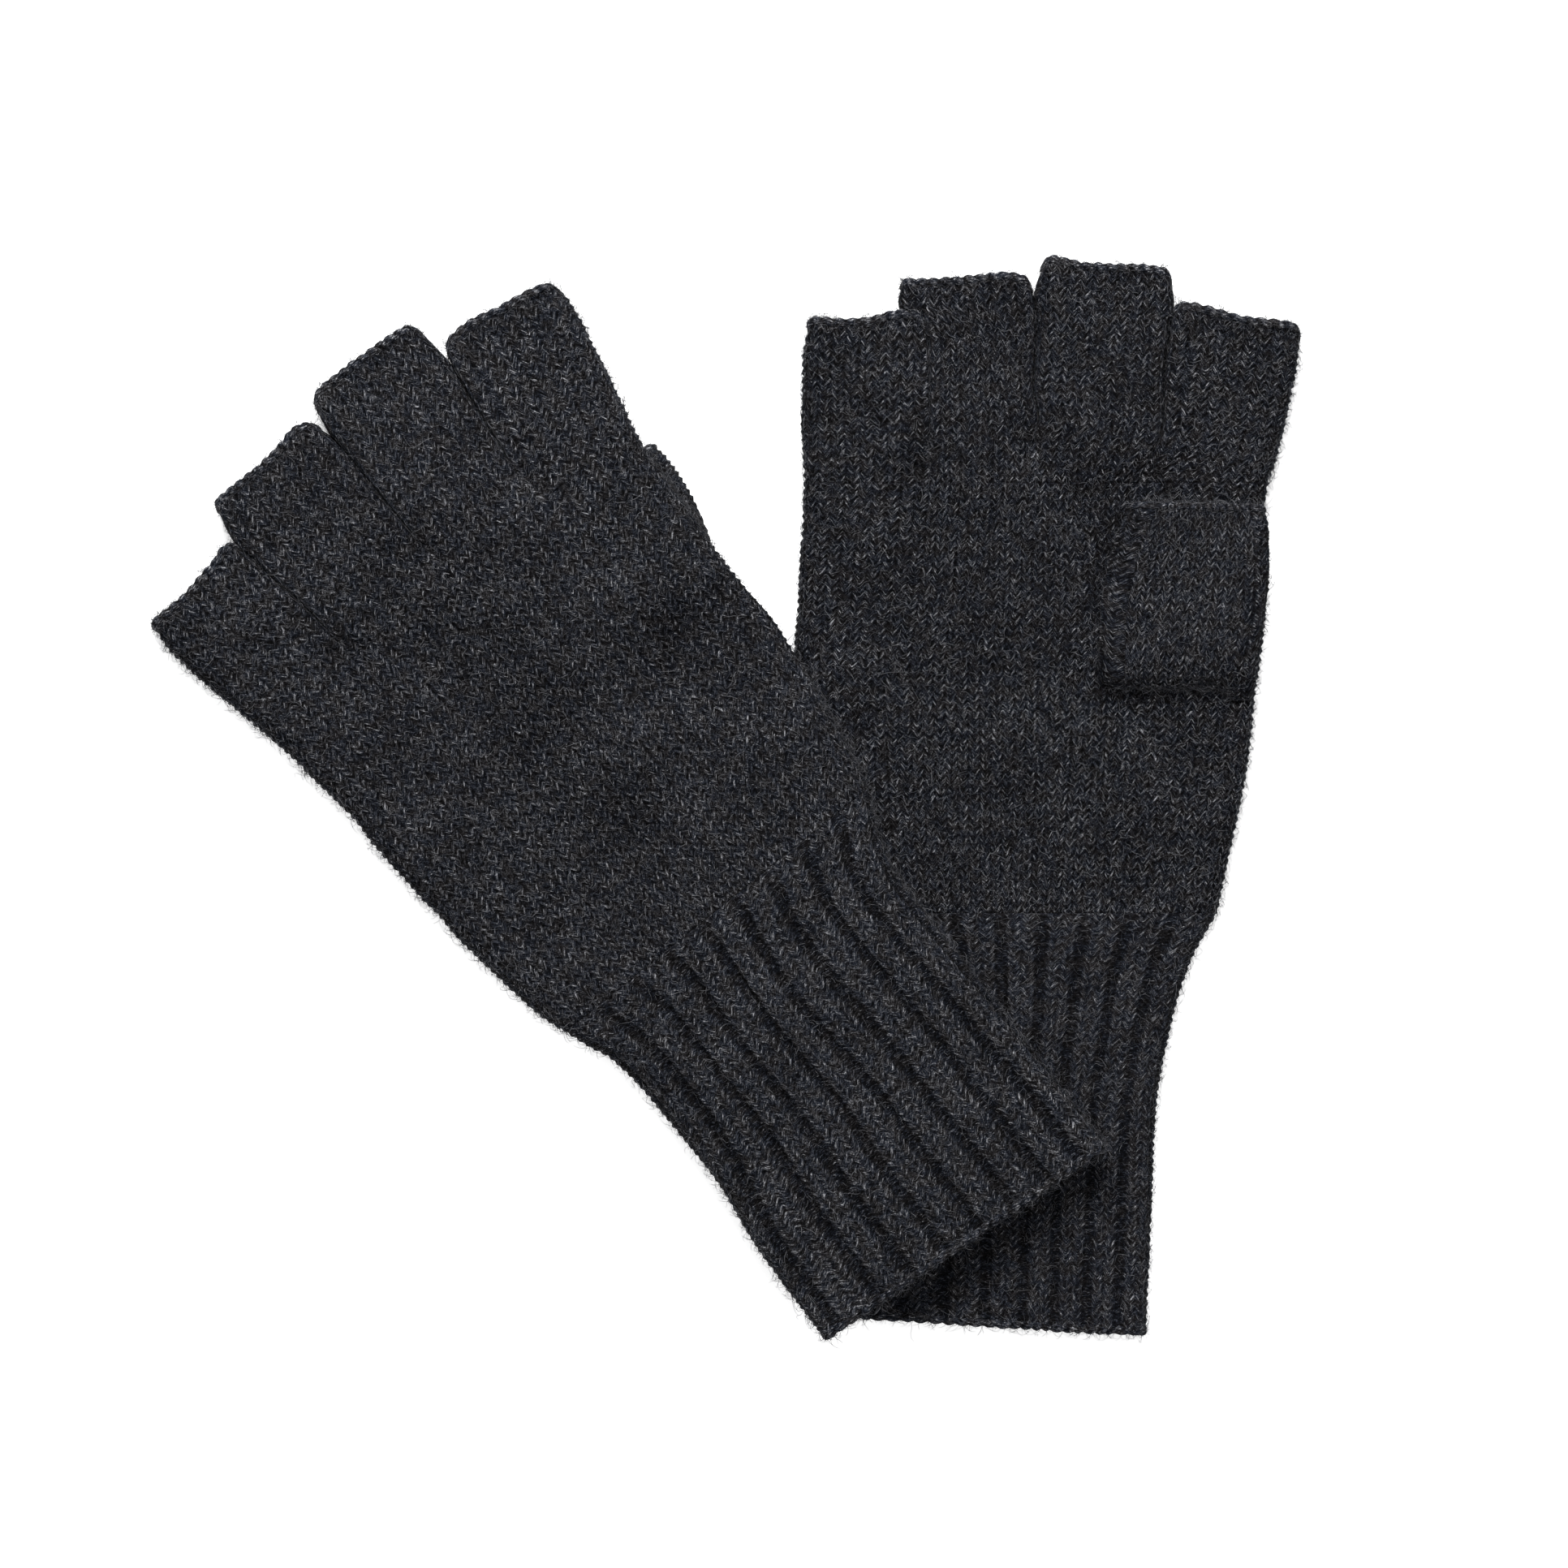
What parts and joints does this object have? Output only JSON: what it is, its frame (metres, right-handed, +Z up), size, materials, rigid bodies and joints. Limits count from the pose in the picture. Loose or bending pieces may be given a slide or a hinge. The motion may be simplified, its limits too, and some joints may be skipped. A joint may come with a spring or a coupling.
{
  "type": "fingerless gloves",
  "caption": "Pair of knitted fingerless gloves laid flat, one palm up and one back up across its wrist, with open finger and thumb stubs and long ribbed cuffs.",
  "frame": {"origin": "centre of the pair's footprint, on the surface that it rests on", "axes": "+Z up off the surface, +Y along the lower glove towards its fingers, +X towards the lower glove's thumb side"},
  "size_m": [0.2334, 0.2195, 0.0187],
  "materials": {
    "knit": "plain stockinette knit, charcoal melange wool, matt and slightly hairy",
    "rib": "ribbed knit, charcoal melange wool, matt and slightly hairy",
    "edge": "bind-off chain edge of the same yarn, firm and matt"
  },
  "bodies": {
    "right_glove": {"right_hand": "knit"},
    "right_index_stub": {"right_index": "knit", "right_index_edge": "edge"},
    "right_middle_stub": {"right_middle": "knit", "right_middle_edge": "edge"},
    "right_ring_stub": {"right_ring": "knit", "right_ring_edge": "edge"},
    "right_little_stub": {"right_little": "knit", "right_little_edge": "edge"},
    "right_thumb_stub": {"right_thumb": "knit", "right_thumb_edge": "edge"},
    "right_wrist": {"right_cuff": "rib", "right_cuff_edge": "edge"},
    "left_glove": {"left_hand": "knit"},
    "left_index_stub": {"left_index": "knit", "left_index_edge": "edge"},
    "left_middle_stub": {"left_middle": "knit", "left_middle_edge": "edge"},
    "left_ring_stub": {"left_ring": "knit", "left_ring_edge": "edge"},
    "left_little_stub": {"left_little": "knit", "left_little_edge": "edge"},
    "left_thumb_stub": {"left_thumb": "knit", "left_thumb_edge": "edge"},
    "left_wrist": {"left_cuff": "rib", "left_cuff_edge": "edge"}
  },
  "joints": [
    {"name": "left_glove_lift", "type": "slide", "parent": "right_glove", "child": "left_glove", "axis": [0, 0, 1], "range_m": [0, 0.1]},
    {"name": "right_index_fold", "type": "hinge", "parent": "right_glove", "child": "right_index_stub", "pos_m": [0.10023, 0.06906, 0.0042], "axis": [1, 0, 0], "range_deg": [0, 90]},
    {"name": "right_middle_fold", "type": "hinge", "parent": "right_glove", "child": "right_middle_stub", "pos_m": [0.07544, 0.06906, 0.0042], "axis": [1, 0, 0], "range_deg": [0, 90]},
    {"name": "right_ring_fold", "type": "hinge", "parent": "right_glove", "child": "right_ring_stub", "pos_m": [0.05243, 0.06906, 0.0042], "axis": [1, 0, 0], "range_deg": [0, 90]},
    {"name": "right_little_fold", "type": "hinge", "parent": "right_glove", "child": "right_little_stub", "pos_m": [0.02863, 0.06906, 0.0042], "axis": [1, 0, 0], "range_deg": [0, 90]},
    {"name": "left_index_fold", "type": "hinge", "parent": "left_glove", "child": "left_index_stub", "pos_m": [-0.03022, 0.07177, 0.01139], "axis": [0.7793, 0.6266, 0], "range_deg": [0, 90]},
    {"name": "left_middle_fold", "type": "hinge", "parent": "left_glove", "child": "left_middle_stub", "pos_m": [-0.0498, 0.05603, 0.01014], "axis": [0.7793, 0.6266, 0], "range_deg": [0, 90]},
    {"name": "left_ring_fold", "type": "hinge", "parent": "left_glove", "child": "left_ring_stub", "pos_m": [-0.06922, 0.04042, 0.00643], "axis": [0.7793, 0.6266, 0], "range_deg": [0, 90]},
    {"name": "left_little_fold", "type": "hinge", "parent": "left_glove", "child": "left_little_stub", "pos_m": [-0.08874, 0.02472, 0.0042], "axis": [0.7793, 0.6266, 0], "range_deg": [0, 90]},
    {"name": "right_thumb_fold", "type": "hinge", "parent": "right_glove", "child": "right_thumb_stub", "pos_m": [0.09171, 0.02401, 0.0128], "axis": [1, 0, 0], "range_deg": [0, 90]},
    {"name": "left_thumb_swing", "type": "hinge", "parent": "left_glove", "child": "left_thumb_stub", "pos_m": [-0.00939, 0.03242, 0.0035], "axis": [0, 0, -1], "range_deg": [0, 45]},
    {"name": "right_wrist_swing", "type": "hinge", "parent": "right_glove", "child": "right_wrist", "pos_m": [0.06082, -0.02335, 0.0046], "axis": [0, 0, 1], "range_deg": [0, 11]},
    {"name": "left_wrist_fold", "type": "hinge", "parent": "left_glove", "child": "left_wrist", "pos_m": [-0.00176, -0.02284, 0.00935], "axis": [-0.7739, -0.6222, -0.1182], "range_deg": [0, 60]}
  ]
}
